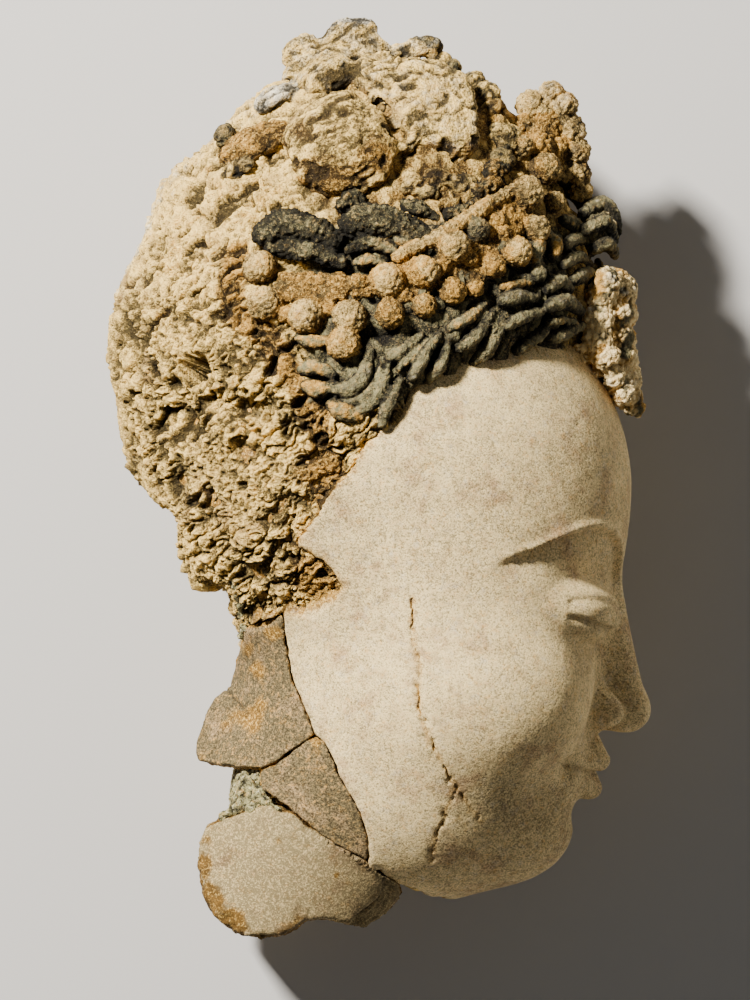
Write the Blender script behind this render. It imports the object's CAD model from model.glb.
"""Builds the looks of a broken clay bodhisattva head that lies on its left side.

The lengths in the tables of places are pixels of the reference photograph, which looks
straight down on the head. The other lengths of the carving are units of about 1 mm.
"""

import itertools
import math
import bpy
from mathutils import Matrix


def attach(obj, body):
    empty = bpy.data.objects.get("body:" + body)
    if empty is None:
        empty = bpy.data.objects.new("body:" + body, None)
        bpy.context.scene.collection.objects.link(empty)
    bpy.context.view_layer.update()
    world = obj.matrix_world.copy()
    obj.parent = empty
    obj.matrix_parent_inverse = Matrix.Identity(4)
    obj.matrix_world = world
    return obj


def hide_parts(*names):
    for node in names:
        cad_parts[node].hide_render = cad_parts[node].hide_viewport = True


bl_info = {
    "name": "Clay Bodhisattva Head",
    "version": (1, 0, 0),
    "blender": (4, 5, 0),
    "location": "View3D > Sidebar > Clay Head",
    "description": "Builds the skin, core, hair, diadem and mended pieces of a clay head",
    "category": "Add Mesh",
}

import bmesh
import bpy
import numpy as np
from mathutils import Matrix, Vector
from mathutils.bvhtree import BVHTree

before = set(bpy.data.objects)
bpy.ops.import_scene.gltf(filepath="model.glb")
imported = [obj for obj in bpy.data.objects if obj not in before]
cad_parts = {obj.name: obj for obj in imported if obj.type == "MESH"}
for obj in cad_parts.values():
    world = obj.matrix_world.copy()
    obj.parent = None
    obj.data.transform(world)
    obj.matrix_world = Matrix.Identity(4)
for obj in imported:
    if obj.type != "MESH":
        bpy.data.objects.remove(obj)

UNITS_PER_PIXEL = 0.39
PHOTO_CENTRE = (399, 370)
PHOTO_HEIGHT = 1000
BOW = math.radians(10)
FACE_CENTRE = (-4.9, -75.3)
BALL_CENTRE = (0, -45, 0)
HAIR_BACK = 112
HAIR_FRONT = 78
HAIR_RISE = 122
HAIR_SIDE = 75

# Outlines of the skin's edge under the hair, of what is lost, and of the mended part
HAIRLINE = (
    (700, 432), (655, 418), (641, 410), (622, 388), (600, 362), (582, 344), (560, 341),
    (540, 341), (520, 344), (500, 352), (480, 353), (462, 358), (446, 372), (425, 377),
    (408, 392), (396, 418), (380, 430), (367, 445), (351, 475), (334, 488), (317, 514),
    (303, 532), (300, 545), (322, 558), (343, 584), (330, 601), (304, 611), (284, 611),
    (246, 627), (180, 640), (180, 1000), (800, 1000),
)
LOST = (
    (20, 470), (113, 468), (128, 477), (150, 493), (172, 506), (181, 522), (178, 546),
    (190, 562), (194, 578), (225, 584), (234, 602), (241, 632), (236, 662), (250, 700),
    (246, 760), (262, 797), (298, 816), (331, 841), (354, 853), (383, 871), (401, 881),
    (425, 890), (470, 905), (600, 1300), (20, 1300),
)
SOCKET = (
    (180, 660), (241, 632), (246, 627), (284, 611), (288, 644), (293, 677), (305, 703),
    (312, 722), (316, 733), (326, 740), (345, 781), (358, 802), (367, 830), (369, 842),
    (368, 862), (354, 880), (262, 840), (180, 800),
)
CHEEK_CRACKS = (
    ((413, 598), (411, 622), (414, 642), (419, 664), (416, 690), (420, 712), (428, 735),
     (441, 760), (455, 783), (468, 803), (480, 818)),
    ((455, 785), (446, 806), (436, 832), (430, 858)),
)
JAW_CRACK = ((227, 690), (236, 700), (249, 713))
JAW_SEAM = ((298, 813), (312, 826), (331, 839), (354, 851), (369, 859))
NECK_CHIP = (
    (382, 864), (386, 880), (383, 893), (371, 903), (357, 914), (346, 926), (412, 940),
    (414, 876),
)
NECK_CRUMBLE = (
    (196, 860), (201, 894), (216, 917), (238, 935), (262, 941), (284, 937), (302, 922),
)
NECK_CRACK = ((377, 861), (382, 870), (385, 882), (381, 896), (370, 905), (357, 914))
# Orange stains on the mended pieces: x, y, radius, strength
STAINS = (
    (256, 668, 10, 0.7), (250, 716, 12, 0.8), (262, 702, 6, 0.5), (316, 738, 7, 0.7),
    (204, 862, 9, 0.7), (212, 893, 13, 0.9), (280, 838, 7, 0.5), (337, 872, 5, 0.7),
    (392, 915, 7, 0.6), (272, 634, 9, 0.5), (275, 765, 8, 0.3), (246, 650, 7, 0.5),
    (365, 810, 6, 0.4), (200, 755, 8, 0.5), (236, 916, 12, 0.9), (208, 838, 8, 0.5),
)
# The torn tip of the upper jaw piece
TORN_TIP = (
    (236, 684), (228, 690), (214, 700), (207, 711), (203, 724), (197, 740), (196, 752),
    (200, 760), (224, 763), (252, 730), (252, 694),
)
# Mortar smeared up the broken edge: x, y, radius
SMEARS = (
    (232, 578, 5), (235, 587, 6), (236, 597, 6), (238, 607, 6), (240, 617, 6),
    (241, 627, 6), (240, 637, 6), (239, 647, 6), (237, 656, 5), (240, 775, 9),
    (254, 776, 9), (240, 790, 10), (256, 792, 9), (234, 804, 9), (222, 813, 7),
    (250, 806, 8), (266, 800, 7), (278, 806, 5), (268, 784, 6),
)
# Cracks and holes between the lumps of the topknot
KNOT_CRACKS = (
    ((352, 96), (368, 99), (382, 108), (391, 121), (397, 134), (404, 143), (412, 148)),
    ((312, 197), (330, 203), (352, 205), (374, 203), (391, 194), (400, 179), (401, 164)),
    ((420, 154), (436, 163), (455, 170), (472, 169)),
    ((283, 150), (286, 166), (296, 184), (308, 195)),
    ((358, 76), (372, 84), (390, 88)),
)
KNOT_HOLES = ((399, 164, 4), (364, 145, 3), (366, 73, 2))
KNOT_STAINS = (
    (322, 184, 22, 0.7), (378, 160, 18, 0.7), (352, 178, 14, 0.4), (448, 156, 10, 0.9),
    (470, 150, 11, 0.9), (392, 104, 14, 0.5), (426, 148, 8, 0.6), (252, 150, 24, 0.6),
    (404, 68, 8, 0.4), (300, 130, 10, 0.3), (424, 190, 14, 0.4), (352, 86, 8, 0.5),
)
# Where the slab is paler and the boss darker: x, y, radius, strength
KNOT_TONES = ((425, 104, 36, 0.38), (341, 150, 44, -0.24))
# Small pits in the skin: x, y, radius
PITS = (
    (418, 654, 3.6), (422, 735, 3.8), (415, 684, 3), (421, 718, 3), (431, 751, 2.6),
    (413, 628, 2), (461, 792, 2.4), (450, 775, 2),
    (534, 403, 3), (462, 430, 2.5), (492, 447, 2), (440, 418, 2), (575, 425, 2),
    (425, 470, 3), (450, 545, 3), (400, 520, 2.5), (385, 600, 3), (505, 420, 2),
    (470, 500, 2), (550, 460, 2), (365, 560, 3), (430, 640, 2), (350, 640, 3),
    (395, 690, 2.5), (460, 700, 2), (480, 640, 2), (520, 540, 2), (340, 700, 2),
)
# Broad hollows of the core: x, y, radius, depth in units
HOLLOWS = (
    (203, 372, 18, 13), (222, 402, 22, 8), (252, 415, 20, 11), (243, 455, 16, 9),
    (180, 420, 30, 4), (300, 470, 22, 4), (152, 505, 26, 5), (216, 560, 22, 5),
    (310, 360, 14, 5),
)

# Dark holes and pits in the straw clay: x, y, radius, depth in units
CORE_PITS = (
    (203, 366, 7, 5), (195, 363, 5, 4), (211, 369, 5, 4), (183, 385, 4, 4), (186, 395, 4, 3),
    (148, 329, 8, 2.5), (160, 380, 10, 2), (176, 384, 8, 2.5), (256, 413, 9, 4),
    (246, 408, 6, 3), (266, 418, 5, 3), (242, 452, 8, 4), (250, 455, 5, 3),
    (206, 427, 5, 2.5), (365, 448, 6, 3), (320, 385, 10, 2.5), (328, 402, 8, 2.5),
    (304, 352, 9, 3), (335, 415, 6, 2.5), (217, 400, 5, 2), (250, 345, 4, 1.5),
    (232, 330, 4, 1.5), (272, 352, 8, 2), (290, 342, 6, 2), (268, 480, 5, 1.5),
    (290, 510, 5, 2), (215, 545, 5, 2), (170, 215, 3, 1.5), (205, 262, 3, 1.5),
    (165, 258, 3, 1.5), (258, 600, 5, 2), (245, 585, 5, 2),
)
EAR = (318, 575)
STAIN_BEHIND_TEMPLE = ((318, 410), (322, 455), (330, 500))
STAIN_UNDER_BAND = ((238, 256), (232, 290), (240, 320), (270, 342), (310, 400))
GAP_ABOVE_BAND = ((262, 256), (280, 266), (305, 271), (345, 272), (372, 270), (398, 262))

# Beads: x, y, radius, how pale and how grey
BEADS = (
    (263, 273, 17.5, 0.8, 0.3), (268, 308, 18, 0.9, 0), (308.5, 321, 18, 0.9, 0),
    (350.5, 322, 18, 0.9, 0), (390, 318, 15.5, 0.2, 0), (387, 287, 18, 0.8, 0.1),
    (421.5, 278, 17.5, 0.8, 0), (422, 310, 12.5, 0.3, 0), (450, 253, 18, 0.8, 0),
    (474, 235, 12.5, 0.2, 0.8), (449, 296, 14, 0, 0), (472, 291, 10, 0, 0),
    (489.5, 271, 13, 0.1, 0), (512, 256, 15, 0.8, 0), (531.5, 232, 14.5, 0.9, 0),
    (520.5, 197.5, 18, 0.7, 0.1), (550, 204, 10.7, 0.8, 0), (539, 173, 17, 0.5, 0),
    (318, 301, 7, 0, 0.5), (345, 348, 17, 0.6, 0.2), (359, 287, 10, 0, 0),
    (438, 272, 9, 0, 0), (466, 262, 9, 0.1, 0), (500, 238, 9, 0, 0), (494, 223, 9, 0, 0),
    (404, 300, 9, 0, 0), (330, 312, 9, 0, 0), (289, 318, 9, 0.1, 0),
)
# Flat orange plaques of the diadem: outline, thickness
PLAQUES = (
    (((281, 276), (316, 276), (322, 290), (312, 306), (284, 306), (276, 290)), 9),
    (((320, 277), (345, 276), (354, 288), (346, 304), (326, 306), (316, 290)), 11),
    (((352, 279), (376, 280), (372, 300), (352, 302)), 8),
    (((484, 216), (504, 202), (524, 214), (522, 236), (502, 246), (484, 238)), 8),
    (((430, 262), (470, 238), (496, 232), (505, 262), (480, 286), (440, 292), (424, 286)), 6),
    (((396, 262), (430, 262), (430, 300), (396, 304)), 6),
)
BAND = ((396, 262), (414, 252), (434, 243), (462, 225), (486, 208), (510, 193))

# Strands of the locks: radius, how grey-green, and the points from tip to root
STRANDS = (
    (9.5, 0.8, (338, 391), (352, 390), (364, 377), (370, 354)),
    (5.5, 0.8, (347, 403), (366, 397), (378, 382), (382, 360)),
    (6.5, 0.7, (354, 415), (372, 404), (384, 384), (388, 364)),
    (7, 0.9, (381, 424), (387, 409), (395, 392), (399, 383)),
    (10, 0.1, (334, 406), (346, 414), (360, 418)),
    (7.5, 0.8, (389, 361), (403, 352), (421, 338)),
    (5, 0.4, (398, 371), (410, 358), (427, 341)),
    (7, 0.9, (410, 378), (425, 355), (438, 336)),
    (7, 0.9, (427, 383), (438, 365), (447, 346)),
    (7, 0.4, (448, 331), (464, 322), (483, 306)),
    (7.5, 0.9, (456, 349), (473, 336), (491, 314)),
    (8.5, 0.9, (471, 361), (487, 346), (499, 321)),
    (5, 0.3, (500, 290), (515, 286), (530, 285)),
    (8, 1.0, (498, 304), (516, 300), (535, 300)),
    (7, 0.9, (503, 328), (520, 319), (540, 312)),
    (7.5, 0.9, (514, 351), (530, 339), (545, 330)),
    (8, 0.8, (543, 291), (556, 284), (569, 291)),
    (9, 1.0, (545, 308), (562, 304), (580, 312)),
    (5, 0.5, (546, 323), (558, 320), (574, 322)),
    (7.5, 0.9, (547, 339), (564, 332), (581, 325)),
    (7.5, 0.8, (561, 248), (577, 240), (592, 252)),
    (7, 0.9, (559, 267), (576, 258), (592, 270)),
    (8, 0.9, (570, 282), (585, 275), (597, 288)),
    (4.5, 0.5, (596, 262), (601, 271)),
    (9, 0.9, (585, 217), (598, 207), (611, 217), (617, 232)),
    (8, 0.8, (587, 230), (603, 224), (614, 241)),
    (8, 0.7, (591, 247), (605, 241), (615, 256)),
    (11, 0.9, (531, 277), (537, 274)),
    (8, 0.4, (303, 373), (318, 370), (335, 376)),
    (9, 0.1, (308, 388), (322, 392), (334, 386)),
    (7, 0.1, (300, 340), (318, 344), (334, 342)),
    (9, 0.6, (567, 196), (576, 200), (584, 209)),
    (8, 0.5, (556, 180), (565, 184), (574, 192)),
    (8, 0.3, (545, 240), (552, 248), (551, 260)),
    (9, 0.2, (536, 246), (530, 258), (534, 268)),
    (8, 0.4, (560, 222), (571, 226), (577, 232)),
)
# Waves of hair above the diadem
WAVES = (
    (18, 0.75, (266, 238), (288, 232), (312, 234), (334, 244)),
    (11, 0.8, (274, 252), (300, 254), (322, 259), (342, 265)),
    (12, 0.5, (344, 209), (353, 205), (362, 210)),
    (18, 0.7, (352, 231), (370, 225), (394, 229), (420, 236)),
    (8, 0.3, (392, 243), (410, 243), (430, 233)),
    (8, 0.6, (351, 252), (371, 246), (393, 254)),
    (6, 0.3, (356, 266), (370, 263), (384, 266)),
    (8, 0.7, (405, 209), (424, 215), (443, 226)),
    (7, 0.3, (436, 240), (448, 236), (456, 230)),
    (8, 0.2, (446, 218), (462, 213), (482, 204)),
    (9, 0.1, (474, 196), (486, 190), (500, 186)),
    (10, 0.1, (486, 176), (496, 172), (506, 168)),
)
# Lumps of the topknot: x, y, half length, half width, height, turn, pale, orange, grey
LUMPS = (
    (305, 53, 26, 18, 20, 8, 0.6, 0.1, 0.1),
    (329, 79, 34, 23, 22, 15, 0.5, 0.2, 0.1),
    (350, 32, 30, 11, 16, 8, 1.0, 0, 0.8),
    (401, 55, 21, 15, 13, -25, 0.7, 0.1, 0),
    (424, 46, 20, 12, 12, -40, 0.5, 0, 0.8),
    (451, 71, 10, 9, 12, 0, 0.2, 0, 0.8),
    (474, 84, 13, 10, 14, -40, 0.4, 0.3, 0.6),
    (486, 97, 14, 12, 15, -50, 0.3, 0.4, 0.6),
    (493, 111, 11, 9, 12, 0, 0, 0.8, 0.2),
    (254, 145, 42, 19, 15, 15, 0.0, 0.9, 0.1),
    (238, 172, 20, 12, 10, 10, 0.1, 0.1, 0.6),
    (226, 138, 13, 11, 13, 60, 0.2, 0.3, 0.8),
    (277, 99, 25, 17, 12, 30, 1.0, 0, 0.3),
    (504, 140, 20, 15, 14, 0, 0.2, 0.1, 0.6),
    (502, 160, 14, 11, 10, 0, 0, 0.2, 0.7),
    (412, 188, 17, 11, 9, 10, 0.3, 0.4, 0.3),
    (437, 180, 15, 12, 10, -20, 0.3, 0.6, 0.1),
    (428, 196, 12, 8, 8, 0, 0.1, 0.3, 0.7),
    (341, 149, 50, 42, 30, -5, 0.3, 0.5, 0),
    (322, 70, 42, 26, 24, 12, 0.6, 0.15, 0.1),
    (364, 56, 30, 22, 22, 0, 0.6, 0.1, 0.1),
    (340, 48, 26, 16, 22, 0, 0.7, 0.1, 0.2),
    (462, 186, 22, 14, 9, -20, 0.3, 0.5, 0.2),
    (406, 150, 11, 9, 12, 0, 0.5, 0.2, 0.1),
    (368, 40, 14, 8, 12, 0, 0.8, 0, 0.3),
    (440, 60, 13, 9, 9, -30, 0.4, 0.1, 0.3),
    (318, 106, 18, 10, 10, 20, 0.3, 0.5, 0),
    (515, 120, 8, 7, 9, 0, 0.1, 0.5, 0.5),
    (508, 185, 9, 7, 7, 0, 0, 0.2, 0.9),
)
BOSS = (
    (283, 149), (290, 130), (302, 117), (333, 101), (356, 99), (374, 105), (390, 121),
    (399, 142), (398, 166), (387, 190), (366, 198), (340, 199), (316, 195), (300, 184),
    (287, 168),
)
SLAB = (
    (352, 73), (362, 60), (384, 62), (402, 70), (424, 70), (443, 76), (462, 88),
    (471, 101), (475, 126), (478, 150), (468, 164), (452, 163), (431, 154), (412, 146),
    (399, 136), (388, 116), (372, 102), (356, 92),
)
# Crest: x, y, radius, sideways place in radii, pale, orange
CREST = (
    (531.5, 105, 15, 0.6, 0.7, 0.1), (551.5, 93, 12, 0.5, 0.8, 0), (563, 107, 14, 0.5, 0.8, 0),
    (559, 118, 9, 1.2, 0.8, 0), (543, 112, 12, 0.9, 0.4, 0.3), (545, 130, 18, 0.6, 0.2, 0.9),
    (534, 150, 17, 0.7, 0.2, 0.9), (552, 152, 20, 0.5, 0.1, 0.8), (571, 130, 15, 0.5, 0.6, 0.1),
    (575, 152, 15, 0.5, 0.6, 0.2), (578, 172, 14, 0.4, 0.4, 0.2), (580, 190, 12, 0.3, 0.3, 0.2),
    (560, 172, 13, 0.8, 0.1, 0.1), (522, 128, 11, 0.6, 0.1, 0.6), (519, 150, 12, 0.6, 0.3, 0.5),
)
# Forelock: x, y, radius
FORELOCK = (
    (594, 230, 21), (616, 290, 22), (612, 313, 24), (611, 338, 24), (614, 360, 24),
    (622, 380, 20), (630, 397, 13), (637, 409, 8),
)
FORELOCK_SIDES = (
    (608, 284, 16), (603, 300, 18), (601, 320, 17), (601, 340, 17), (607, 358, 16),
    (615, 376, 13), (625, 391, 10), (590, 350, 9), (576, 352, 8), (566, 349, 6),
    (583, 361, 7), (594, 373, 7), (606, 386, 7), (619, 398, 6), (631, 409, 6),
)
CURL = (594, 228)
# Slots in the forelock: x, y, half width, half height
FORELOCK_SLOTS = ((622, 352, 3.5, 10), (639, 402, 3, 11), (600, 384, 3, 6))

# The head's length in units of the carving
HEAD_UNITS = 357
# Worn surfaces stay this far above the floor, in metres
FLOOR_GAP = 0.0004
# Rays that seat the hair start this far to the side, in metres
RAY_START = 0.3
# The right side is looked at from near by, so its mesh is finer
SIDES = ((1, "right", "near_grain"), (-1, "left", "far_grain"))
STRAND_STEPS = 14
NOWHERE = 1e9
MASKS = ("ochre", "pigment", "pale", "shade", "tone")


def number(name, description, default, least=0, kind="LENGTH"):
    return bpy.props.FloatProperty(
        name=name, description=description, default=default, min=least, unit=kind
    )


def colour(name, description, value):
    return bpy.props.FloatVectorProperty(
        name=name, description=description, default=value, min=0, max=1, size=3,
        subtype="COLOR",
    )


class HeadSizes(bpy.types.PropertyGroup):
    head_length: number(
        "Head length", "From the top of the topknot to the break of the neck", 0.357, 0.05
    )
    median_height: number(
        "Median height", "Height of the face's middle line above the floor", 0.070, 0.01
    )
    skin_thickness: number(
        "Skin thickness", "Thickness of the fine clay over the straw clay", 0.006, 0.001
    )
    near_grain: number("Near grain", "Mesh size of the hair on the right side", 0.0006, 0.0004)
    far_grain: number("Far grain", "Mesh size of the hair on the left side", 0.0012, 0.0004)
    crumble: number("Crumble", "Depth of the wear on beads, locks and lumps", 0.0007)
    crack_depth: number("Crack depth", "Depth of the fine cracks in the cheek", 0.0016)


class ClayColours(bpy.types.PropertyGroup):
    skin: colour("Skin", "Worn pale ground of the face", (0.79, 0.605, 0.29))
    skin_tan: colour("Skin tan", "Clay that shows through the ground", (0.50, 0.335, 0.165))
    set_skin: colour("Set pieces", "Duller ground of the mended pieces", (0.20, 0.152, 0.072))
    straw: colour("Straw clay", "Bare rough clay of the core", (0.84, 0.575, 0.175))
    straw_deep: colour("Deep straw clay", "Darker patches of the core", (0.33, 0.22, 0.085))
    ochre: colour("Ochre", "Orange clay and its stains", (0.46, 0.245, 0.048))
    lock_green: colour("Lock green", "Grey-green pigment on the locks", (0.185, 0.165, 0.082))
    lock_dark: colour("Lock dark", "Dark pigment and dirt in the hair", (0.040, 0.034, 0.020))
    bead: colour("Bead", "Pale clay of the beads", (0.64, 0.445, 0.155))
    crust: colour("Crust", "White crust on the worn rim", (0.76, 0.69, 0.53))
    mortar: colour("Mortar", "Coarse mortar of the mend", (0.25, 0.225, 0.105))


class StageSettings(bpy.types.PropertyGroup):
    lens: number("Lens", "Focal length in millimetres", 500, 20, "NONE")
    key_power: number("Key light", "Power of the main light", 126, kind="POWER")
    fill_power: number("Fill light", "Power of the second light", 1.5, kind="POWER")
    sky: number("Sky", "Strength of the light from all round", 0.10, kind="NONE")
    floor_colour: colour("Floor", "Plain floor", (0.56, 0.552, 0.54))


def sizes():
    return bpy.context.scene.head_sizes


def unit():
    return sizes().head_length / HEAD_UNITS


def metres(pixels):
    return pixels * UNITS_PER_PIXEL * unit()


def to_units(places):
    points = places / unit()
    points[:, 2] -= sizes().median_height / unit()
    return points


def from_units(points):
    places = points * unit()
    places[:, 2] += sizes().median_height
    return places


def spot(pixel):
    return (
        (pixel[0] - PHOTO_CENTRE[0]) * UNITS_PER_PIXEL,
        (PHOTO_CENTRE[1] - pixel[1]) * UNITS_PER_PIXEL,
    )


def over_spot(pixel, z):
    """The place in metres over a pixel, at this height."""
    x, y = spot(pixel)
    return Vector((x * unit(), y * unit(), z))


# Forms, given by their distance in units at many points at once


def length(vectors):
    return np.sqrt((vectors * vectors).sum(axis=1))


def blend(a, b, soft):
    share = np.clip(0.5 + 0.5 * (b - a) / soft, 0, 1)
    return b + (a - b) * share - soft * share * (1 - share)


def carve(a, b, soft):
    return -blend(-a, b, soft)


def ball(points, centre, radii):
    radii = np.asarray(radii, float)
    offset = points - np.asarray(centre, float)
    near = length(offset / radii)
    return near * (near - 1) / np.maximum(length(offset / radii**2), 1e-9)


def rod(points, start, end, start_radius, end_radius):
    start = np.asarray(start, float)
    along = np.asarray(end, float) - start
    share = np.clip(((points - start) @ along) / (along @ along), 0, 1)
    middle = start + share[:, None] * along
    return length(points - middle) - (start_radius + (end_radius - start_radius) * share)


def ramp(value, low, high):
    share = np.clip((value - low) / (high - low), 0, 1)
    return share * share * (3 - 2 * share)


def bump(value, width):
    return np.exp(-((value / width) ** 2))


def scattered(cell):
    """A random whole number for each cell of a grid."""
    x, y, z = cell.T
    mix = (x * 73856093) ^ (y * 19349663) ^ (z * 83492791)
    mix = ((mix ^ (mix >> 13)) * 1274126177) & 0x7FFFFFFF
    return ((mix ^ (mix >> 15)) * 668265263) & 0x3FFFFFFF


def grain(points, size, seed=0):
    """Smooth random relief from -1 to 1, with lumps of about this size."""
    turned = points @ np.array(Matrix.Rotation(0.6 + seed, 3, (0.3, 0.7, 0.6)))
    place = turned / size + 31.7 * (seed + 1)
    cell = np.floor(place).astype(np.int64)
    share = place - cell
    share = share * share * (3 - 2 * share)
    total = np.zeros(len(points))
    for corner in itertools.product((0, 1), repeat=3):
        weight = np.prod(np.where(corner, share, 1 - share), axis=1)
        total += weight * ((scattered(cell + corner) >> 7 & 0xFFFF) / 32767.5 - 1)
    return total


def clods(points, size, seed=0):
    """How near the middle of a clod places are, and how near the seam between two."""
    turned = points @ np.array(Matrix.Rotation(0.9 + seed, 3, (0.5, 0.4, 0.8)))
    place = turned / size + 57.3 * (seed + 1)
    cell = np.floor(place).astype(np.int64)
    first = np.full(len(points), 9.0)
    second = np.full(len(points), 9.0)
    for corner in itertools.product((-1, 0, 1), repeat=3):
        mix = scattered(cell + corner)
        jitter = np.stack([mix & 1023, mix >> 10 & 1023, mix >> 20 & 1023], axis=1) / 1023
        away = length(cell + corner + jitter - place)
        second = np.minimum(second, np.maximum(first, away))
        first = np.minimum(first, away)
    return first, second - first


def stray(points, size, seeds):
    """Random shifts from -1 to 1, along x, y and, with a third seed, z."""
    shifts = np.zeros_like(points)
    for axis, seed in enumerate(seeds):
        shifts[:, axis] = grain(points, size, seed)
    return shifts


def rough_clay(points, seed):
    """Relief of crumbled straw clay, in units, and how high each crumb of it stands."""
    shifts = stray(points, 6, range(seed, seed + 3))
    shifts += 0.5 * stray(points, 2.5, range(seed + 8, seed + 11))
    drawn = (points + 2.6 * shifts) @ np.array(Matrix.Rotation(0.6, 3, "Z")) * (0.45, 1.2, 1)
    clod, seam = clods(drawn, 7.5, seed + 3)
    crumb, fine_seam = clods(drawn, 3.1, seed + 4)
    broken = ramp(grain(points, 13, seed + 5), -0.5, 0.3)
    flakes = 0.6 - np.abs(grain(drawn, 2.4, seed + 7)) - 0.8 * np.abs(grain(drawn, 1.3, seed + 9))
    fine = (0.35 + 0.7 * broken) * (0.55 - crumb) + flakes
    fine += 0.5 * grain(points, 1.1, seed + 11) - 0.5 * (1 - ramp(fine_seam, 0, 0.2))
    coarse = (0.7 + 2.3 * broken) * (0.6 - clod) - 1.8 * broken * (1 - ramp(seam, 0, 0.2))
    pits = -2.6 * ramp(grain(drawn, 5, seed + 12), 0.35, 0.6)
    relief = 2.4 * grain(points, 19, seed + 6) + coarse + fine + pits
    return relief, 0.5 * coarse + fine + 0.7 * pits


def spot_distance(points, pixel):
    """Distance in x and y to one place."""
    x, y = spot(pixel)
    return np.hypot(points[:, 0] - x, points[:, 1] - y)


def patches(points, table):
    """Soft round patches, from rows of x, y, radius and strength."""
    return sum(
        strength * bump(spot_distance(points, (x, y)), radius * UNITS_PER_PIXEL)
        for x, y, radius, strength in table
    )


def line_distance(points, *lines):
    """Distance in x and y to the nearest of some open lines."""
    least = np.full(len(points), NOWHERE)
    for line in lines:
        corners = [spot(pixel) for pixel in line]
        for (ax, ay), (bx, by) in zip(corners, corners[1:]):
            px, py = points[:, 0] - ax, points[:, 1] - ay
            dx, dy = bx - ax, by - ay
            share = np.clip((px * dx + py * dy) / (dx * dx + dy * dy), 0, 1)
            least = np.minimum(least, (px - share * dx) ** 2 + (py - share * dy) ** 2)
    return np.sqrt(least)


def outline_distance(points, outline):
    """Distance in x and y to a closed outline, negative inside it."""
    closed = (*outline, outline[0])
    corners = [spot(pixel) for pixel in closed]
    inside = np.zeros(len(points), bool)
    for (ax, ay), (bx, by) in zip(corners, corners[1:]):
        crosses = (ay > points[:, 1]) != (by > points[:, 1])
        slope = (bx - ax) / ((by - ay) or 1.0)
        inside ^= crosses & (points[:, 0] - ax < (points[:, 1] - ay) * slope)
    return np.where(inside, -1, 1) * line_distance(points, closed)


def near_side(points):
    return points[:, 2] > 5


def face_points(points):
    """u towards the face's front, v up the face and w out to either side."""
    dx, dy = points[:, 0] - FACE_CENTRE[0], points[:, 1] - FACE_CENTRE[1]
    u = dx * math.cos(BOW) - dy * math.sin(BOW)
    v = dx * math.sin(BOW) + dy * math.cos(BOW)
    return np.stack([u, v, np.abs(points[:, 2])], axis=1)


def skull_and_neck(q):
    form = blend(ball(q, (-8, 32, 0), (98, 88, 74)), ball(q, (28, -30, 0), (61, 88, 71)), 22)
    form = blend(form, rod(q, (4, -60, 0), (-42, -200, 0), 50, 50), 22)
    form = blend(form, ball(q, (30, -84, 0), (52, 42, 50)), 14)
    form = blend(form, ball(q, (68, -92, 0), (20, 18, 26)), 16)
    return blend(form, ball(q, (50, -42, 36), (34, 32, 30)), 16)


def nose(form, q):
    form = blend(form, rod(q, (76, 6, 0), (82, -38, 0), 10, 16), 9)
    form = blend(form, rod(q, (79, 14, 0), (99.5, -36, 0), 8.8, 9), 6)
    form = blend(form, ball(q, (100, -40, 0), (11.5, 9.5, 11)), 4)
    form = blend(form, ball(q, (90.5, -42, 13), (10.5, 7.5, 6.5)), 2.2)
    return carve(form, ball(q, (96, -51, 7), (6, 4, 3.2)), 1.2)


def lid_lines(q):
    """How far across the eye places are, and the heights of the slit's two edges."""
    across = (q[:, 2] - 33) / 20
    span = np.clip(1 - across**2, 0, 1)
    upper = -8.6 - 1.6 * span + 1.6 * across + 1.6 * np.sqrt(span)
    lower = upper - 3.4 * np.sqrt(span)
    return span, upper, lower


def eye(form, q):
    u, v, w = q.T
    front = ramp(u, 30, 46)
    span, upper, lower = lid_lines(q)
    socket = 3.6 * bump(v - 9, 8) * bump(w - 31, 24) + 2.0 * bump(v + 18, 6) * bump(w - 33, 18)
    inside = 1 - ((w - 33) / 24) ** 2 - ((v + 5) / 13) ** 2
    form = form + front * (socket - 7.0 * ramp(inside, -0.15, 1))
    opened = (1 - ramp(v - upper, -0.9, 0.3)) * ramp(v, lower - 2.5, upper - 0.4)
    opened = opened * ramp(span, 0, 0.3)
    crease = bump(v - upper - 7.6 * np.sqrt(span) - 1, 1.2) * ramp(span, 0, 0.25)
    fold = bump(v - lower + 3.6 * np.sqrt(span) + 1, 1.5) * ramp(span, 0, 0.3)
    return form + front * (2.3 * opened + 1.2 * crease + 0.4 * fold)


def brow(form, q):
    u, v, w = q.T
    arch = 28 - 18 * ((w - 35) / 30) ** 2
    below = arch - v
    band = ramp(w, 3, 8) * (1 - ramp(w, 60, 70)) * ramp(u, 33, 48)
    hollow = 2.0 * ramp(below, -0.6, 1.4) * bump(np.maximum(below, 0), 11)
    return form + band * (hollow - 0.9 * bump(below + 1.4, 1.5))


def lip_line(q):
    """Height above the line where the lips meet."""
    return q[:, 1] + 66.8 - 0.0024 * q[:, 2] ** 2


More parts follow.
